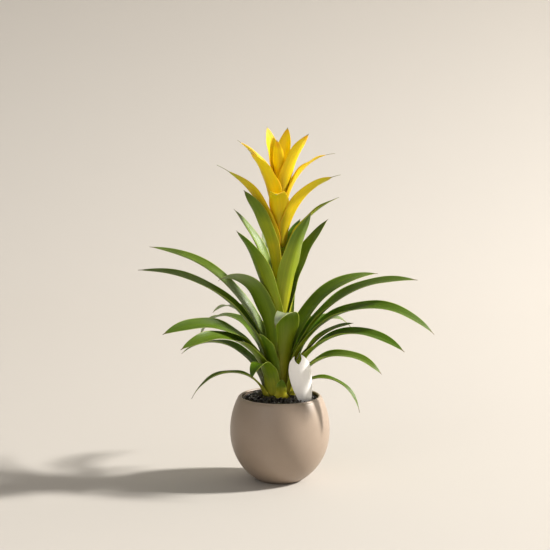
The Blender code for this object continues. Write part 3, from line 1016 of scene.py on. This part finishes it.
BLADES = {Whorl.ROSETTE: (
    Blade("leaf_left_front_tall", 212, 0, 0.240, 0.042, 85, 116, 3.2, 36, 40, painted_sheen=0.4),
    Blade("leaf_right_back_tall", 22, 0, 0.262, 0.040, 86, 92, 1.3, 36, 20),
    Blade("leaf_left_upper", 168, 1, 0.324, 0.034, 84, 82, 1.2, 40, -20),
    Blade("leaf_front_centre", 302, 1, 0.186, 0.042, 85, 175, 3.5, 34, 0, -85, painted_sheen=0.8,
          pale=0.25),
    Blade("leaf_back_right", 82, 1, 0.250, 0.036, 85, 84, 1.3, 34),
    Blade("leaf_left_middle", 186, 2, 0.314, 0.036, 86, 88, 1.0, 40, -20),
    Blade("leaf_right_upper", 355, 2, 0.300, 0.040, 84, 92, 1.1, 38, 20),
    Blade("leaf_back_middle", 98, 2, 0.270, 0.036, 84, 102, 1.2, 34),
    Blade("leaf_left_back_grey", 143, 3, 0.228, 0.030, 80, 158, 1.6, 36, painted_sheen=0.9),
    Blade("leaf_right_middle", 347, 3, 0.318, 0.040, 85, 133, 1.1, 38, 20),
    Blade("leaf_front_left_inner", 243, 3, 0.120, 0.022, 84, 60, 1.5, 36),
    Blade("leaf_left_low_upper", 207, 4, 0.246, 0.040, 82, 106, 1.0, 38, -35),
    Blade("leaf_right_back_low", 41, 4, 0.206, 0.032, 82, 137, 1.5, 36, 20, painted_sheen=0.3),
    Blade("leaf_back_low_left", 121, 4, 0.260, 0.030, 81, 115, 1.0, 36),
    Blade("leaf_right_inner_low", 340, 5, 0.165, 0.030, 81, 72, 1.2, 38, 20, pale=0.9),
    Blade("leaf_left_low_lower", 218, 5, 0.226, 0.036, 81, 109, 1.0, 38, -30),
    Blade("leaf_back_low_right", 75, 5, 0.250, 0.030, 80, 120, 0.9, 36),
    Blade("leaf_right_front_low", 334, 6, 0.252, 0.036, 83, 121, 1.0, 38, 20),
    Blade("leaf_back_lowest", 100, 6, 0.220, 0.026, 78, 130, 0.9, 36),
    Blade("leaf_front_left_curled", 240, 7, 0.110, 0.030, 82, 170, 2.0, 34),
    Blade("leaf_right_front_lowest", 342, 7, 0.184, 0.030, 79, 128, 1.0, 38, 20),
    Blade("leaf_back_left_lowest", 150, 7, 0.200, 0.026, 78, 120, 0.9, 36),
    Blade("leaf_left_drooping", 193, 8, 0.150, 0.018, 80, 145, 0.8, 38, dry=0.05),
    Blade("leaf_basal_scale", 274, 9, 0.036, 0.018, 87, 30, 1.6, 36, pale=0.8),
    Blade("leaf_right_drooping", 343, 8, 0.145, 0.018, 76, 158, 0.8, 38, dry=0.04),
), Whorl.SCAPE: (
    Blade("scape_leaf_back", 76, 0.1995, 0.215, 0.032, 83, 60, 1.3, 42),
    Blade("scape_leaf_front_left", 228, 0.2456, 0.218, 0.040, 83, 46, 1.5, 42),
    Blade("scape_leaf_right", 32, 0.2673, 0.208, 0.036, 84, 46, 1.6, 42, 10),
    Blade("scape_leaf_front_right", 308, 0.3216, 0.205, 0.042, 84, 36, 1.6, 42),
    Blade("scape_leaf_back_left", 113, 0.3541, 0.152, 0.030, 83, 48, 1.6, 42, painted_sheen=0.6),
    Blade("scape_leaf_left", 156, 0.3813, 0.180, 0.034, 83, 40, 1.4, 42),
    Blade("scape_leaf_back_right", 62, 0.4437, 0.138, 0.028, 83, 50, 1.5, 42),
), Whorl.BRACT_LEAF: (
    Blade("bract_leaf_left", 205, 0.5251, 0.158, 0.034, 84, 37, 1.6, 46, 45),
    Blade("bract_leaf_right", 6, 0.5984, 0.140, 0.022, 83, 62, 0.9, 46),
), Whorl.BRACT: (
    Blade("bract_left_lower", 190, 0.6418, 0.176, 0.038, 82, 58, 1.3, 56, 30, dry=0.12,
          green=0.7),
    Blade("bract_right_lower", 350, 0.6635, 0.158, 0.042, 85, 74, 1.3, 56, -35, dry=0.09,
          green=0.5),
    Blade("bract_front_lower", 264, 0.6961, 0.108, 0.040, 84, 110, 2.8, 56, green=0.35),
    Blade("bract_back_lower", 95, 0.7178, 0.100, 0.034, 82, 70, 1.6, 56, green=0.3),
    Blade("bract_front_upper", 222, 0.7503, 0.146, 0.042, 83, 47, 1.6, 60, dry=0.06),
    Blade("bract_right_upper", 15, 0.7992, 0.140, 0.032, 84, 84, 1.4, 56, -20, dry=0.10),
    Blade("bract_left_upper", 165, 0.8100, 0.135, 0.034, 84, 54, 1.4, 56, dry=0.04),
    Blade("bract_right_top", 332, 0.8318, 0.130, 0.038, 84, 34, 1.5, 60, -20),
    Blade("bract_left_top", 135, 0.8589, 0.120, 0.038, 85, 12, 1.4, 60),
    Blade("bract_back_top", 62, 0.8860, 0.108, 0.034, 86, 14, 1.4, 60),
    Blade("bract_top_inner", 255, 0.9186, 0.079, 0.024, 87, 12, 1.4, 60),
)}

FINISHES = {
    Whorl.ROSETTE: BladeFinish(
        "rosette leaf",
        upper=((0.0, "B0AA28"), (0.10, "869016"), (0.28, "5C7808"), (0.60, "4A6606"),
               (0.95, "466206")),
        under=((0.0, "B6AC2C"), (0.14, "949A1C"), (0.35, "6E860C"), (0.70, "5E7A0C"),
               (0.95, "567214")),
        margin="BCC450", yellow="BEB022", thread="6A5A34", veins=0.28,
        roughness=0.30, glow=0.16),
    Whorl.SCAPE: BladeFinish(
        "flower stem leaf",
        upper=((0.0, "B8AC1C"), (0.18, "9AA214"), (0.45, "749008"), (0.75, "567606"),
               (0.97, "3E6008")),
        under=((0.0, "C0B420"), (0.20, "ACAC1E"), (0.50, "8C9C16"), (0.80, "5E7C0C"),
               (0.97, "40640A")),
        margin="C2C450", yellow="CCB61E", thread="5C5634", veins=0.24,
        roughness=0.32, glow=0.18),
    Whorl.BRACT_LEAF: BladeFinish(
        "bract leaf",
        upper=((0.0, "DEBA0C"), (0.30, "CEBE12"), (0.55, "98A80E"), (0.80, "567A0A"),
               (0.97, "3A600C")),
        under=((0.0, "E2BE0C"), (0.30, "D2C012"), (0.55, "9CAA14"), (0.80, "587C0E"),
               (0.97, "3C620E")),
        margin="DCC83C", yellow="E0C010", thread="6E6E48", veins=0.18,
        roughness=0.34, glow=0.20),
    Whorl.BRACT: BladeFinish(
        "golden bract",
        # The darker olive at the base of both ramps is painted shade where the bracts overlap one
        # another.
        upper=((0.0, "9C8A06"), (0.22, "D6B800"), (0.45, "FAD800"), (0.80, "FDDC00"),
               (0.96, "F6BC00")),
        under=((0.0, "A69608"), (0.24, "D2B806"), (0.50, "F4D204"), (0.82, "FAD602"),
               (0.96, "F0B404")),
        # The pale tip tint below is a painted reflection on the bracts.
        margin="F8AA00", green="94A834", painted_sheen="C8C080", yellow="E8C810",
        thread="8A8662", veins=0.12, roughness=0.36, glow=0.30),
}


@dataclass
class Bromeliad:
    """The whole plant: stem, leaves and bracts."""

    grower: BladeGrower

    def build(self) -> None:
        """Builds the stem and every blade."""
        self.grower.stem.build()
        number = 0
        for whorl, blades in BLADES.items():
            materials = [FINISHES[whorl].material(side) for side in BladeSide]
            for blade in blades:
                number += 1
                self.grower.grow(blade, whorl, number, materials)


# ---- plant label ----
@dataclass
class PlantLabel:
    """A blank card with a notched top, bent backwards, on a flat spike."""

    compost: Compost
    azimuth: float = -38.0
    inset: float = 0.0036
    height: float = 0.083
    half_width: float = 0.0200
    foot_half_width: float = 0.0085
    notch: float = 0.015
    notch_place: float = -0.1
    notch_spread: float = 0.5
    rounding: float = 0.055
    thickness: float = 0.0010
    curve_radius: float = 0.026
    turn: float = 18.0
    lean: float = 9.0
    pitch: float = 10.0
    spike: float = 0.012
    spike_half_width: float = 0.0030
    spike_top: float = 0.003
    shoulder: float = 0.005
    widest: float = 0.62
    narrowing: float = 0.45
    rows: int = 48
    columns: int = 40

    def half_at(self, height: float) -> float:
        """Half the card's width at a height."""
        share = max(height / self.height, 0.0)
        swell = (self.half_width - self.foot_half_width) * sin(
            pi * min(share / self.widest, 1.0) / 2)
        past = max((share - self.widest) / (1 - self.widest), 0.0)
        return (self.foot_half_width + swell) * (1 - self.narrowing * past ** 2)

    def top_at(self, across: float) -> float:
        """Height of the card's notched top edge at a share of its half width."""
        beside = abs(across - self.notch_place) - self.notch_spread
        notch = self.notch * sqrt(max(-beside, 0.0) / self.notch_spread)
        return self.height - notch - self.rounding * max(beside, 0.0) ** 2

    def build(self) -> None:
        """Builds the card and its spike."""
        out = Vector((self.compost.edge_radius() - self.inset, 0.0, self.compost.edge_height))
        stand = (Matrix.Translation(Matrix.Rotation(radians(self.azimuth), 3, "Z") @ out)
                 @ Matrix.Rotation(radians(-self.lean), 4, "Y")
                 @ Matrix.Rotation(radians(self.pitch), 4, "X")
                 @ Matrix.Rotation(radians(self.turn), 4, "Z"))
        bm = bmesh.new()
        rows = self.rows + 2
        bmesh.ops.create_grid(bm, x_segments=self.columns, y_segments=rows, size=1.0)
        for vert in bm.verts:
            across = vert.co.x
            row = round((vert.co.y + 1) / 2 * rows)
            if row < 2:
                half = self.spike_half_width * (0.3 + 0.7 * row)
                height = self.spike_top if row else -self.spike
                vert.co = stand @ Vector((across * half, 0.0, height))
                continue
            top = self.top_at(across)
            height = self.shoulder + (top - self.shoulder) * (row - 2) / self.rows
            angle = across * self.half_at(height) / self.curve_radius
            vert.co = stand @ Vector((self.curve_radius * sin(angle),
                                      self.curve_radius * (1 - cos(angle)), height))
        bmesh.ops.recalc_face_normals(bm, faces=bm.faces)
        finish = PlasticFinish("label card", "FDFBF8", "F6F3EE", 0.38)
        piece = make_piece("plant_label_card", bm, [finish.material()])
        solid = piece.modifiers.new("Thickness", "SOLIDIFY")
        solid.thickness = self.thickness
        solid.offset = 0.0
        rounded = piece.modifiers.new("Edges", "BEVEL")
        rounded.width = 0.0003
        rounded.segments = 2
        rounded.angle_limit = radians(60)
        hand_over(piece, "label", "plant_label")


# ---- studio ----
@dataclass(frozen=True)
class SoftLight:
    """A square soft light that faces the plant, with its side and its watts."""

    name: str
    place: tuple[float, float, float]
    size: float
    power: float
    colour: tuple[float, float, float]
    aim: tuple[float, float, float] = (0.0, 0.0, 0.27)

    def build(self) -> None:
        """Hangs the light in its place."""
        light = bpy.data.lights.new(self.name, "AREA")
        light.size = self.size
        light.energy = self.power
        light.color = self.colour
        lamp = bpy.data.objects.new(self.name, light)
        lamp.location = self.place
        towards = Vector(self.aim) - Vector(self.place)
        lamp.rotation_euler = towards.to_track_quat("-Z", "Y").to_euler()
        bpy.context.scene.collection.objects.link(lamp)


@dataclass
class Studio:
    """A pale floor that sweeps up behind, soft lights and the camera."""

    camera_place: tuple[float, float, float] = (-0.0078, -3.17, 0.841)
    camera_tilt: float = 9.13
    lens: float = 132.9
    floor_colour: str = "C4BFB8"
    floor_half_width: float = 9.0
    floor_front: float = -9.0
    turn_at: float = 1.6
    turn_radius: float = 0.9
    wall_height: float = 3.4

    def build_floor(self) -> None:
        """Builds the floor and the backdrop as one swept sheet."""
        bm = bmesh.new()
        bmesh.ops.create_grid(bm, x_segments=2, y_segments=120, size=1.0)
        radius = self.turn_radius
        flat, arc = self.turn_at - self.floor_front, radius * pi / 2
        for vert in bm.verts:
            run = (vert.co.y + 1) / 2 * (flat + arc + self.wall_height)
            angle = min(max(run - flat, 0.0), arc) / radius
            y = self.floor_front + min(run, flat) + radius * sin(angle)
            z = radius * (1 - cos(angle)) + max(run - flat - arc, 0.0)
            vert.co = Vector((vert.co.x * self.floor_half_width, y, z))
        material = bpy.data.materials.new("pale sweep")
        material.use_nodes = True
        shader = material.node_tree.nodes["Principled BSDF"]
        shader.inputs["Base Color"].default_value = srgb(self.floor_colour)
        shader.inputs["Roughness"].default_value = 0.8
        shader.inputs["Specular IOR Level"].default_value = 0.2
        make_piece("floor_sweep", bm, [material])

    def build_lights(self) -> None:
        """Adds the key light at the right, a weak fill and an even surround."""
        SoftLight("key", (6.69, 0.60, 4.63), 0.80, 1230.0, (1.0, 0.97, 0.925)).build()
        SoftLight("fill", (-1.6, -2.4, 1.6), 1.8, 11.0, (1.0, 0.98, 0.95)).build()
        world = bpy.data.worlds.new("surround")
        world.use_nodes = True
        background = world.node_tree.nodes["Background"]
        background.inputs["Color"].default_value = (1.0, 0.97, 0.93, 1.0)
        background.inputs["Strength"].default_value = 0.32
        bpy.context.scene.world = world
        bpy.context.scene.view_settings.view_transform = "Standard"

    def build_camera(self) -> None:
        """Adds the camera, which looks slightly down on the plant."""
        data = bpy.data.cameras.new("camera")
        data.lens = self.lens
        camera = bpy.data.objects.new("camera", data)
        camera.location = self.camera_place
        camera.rotation_euler = (radians(90 - self.camera_tilt), 0.0, 0.0)
        bpy.context.scene.collection.objects.link(camera)
        bpy.context.scene.camera = camera

    def build(self) -> None:
        """Builds all of the studio."""
        self.build_camera()
        self.build_floor()
        self.build_lights()


def main() -> None:
    """Builds every piece in order, from the pot up."""
    logging.basicConfig(level=logging.INFO, format="%(message)s")
    Studio().build()
    pot_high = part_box("pot")[1]
    pot = CeramicPot(height=pot_high.z, belly_radius=pot_high.x)
    pot.build()
    liner_low, liner_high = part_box("nursery_liner")
    liner = NurseryLiner(foot=liner_low.z, top=liner_high.z, lip_radius=liner_high.x, pot=pot)
    liner.build()
    edge_height = liner.top - 0.002
    compost = Compost(bottom=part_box("compost")[0].z, edge_height=edge_height, liner=liner)
    compost.build()
    stem_low, stem_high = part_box("stem")
    stem = PlantStem(rootstock_radius=stem_high.x, foot=stem_low.z, top=stem_high.z)
    Bromeliad(BladeGrower(stem)).build()
    PlantLabel(compost).build()


if __name__ == "__main__":
    main()
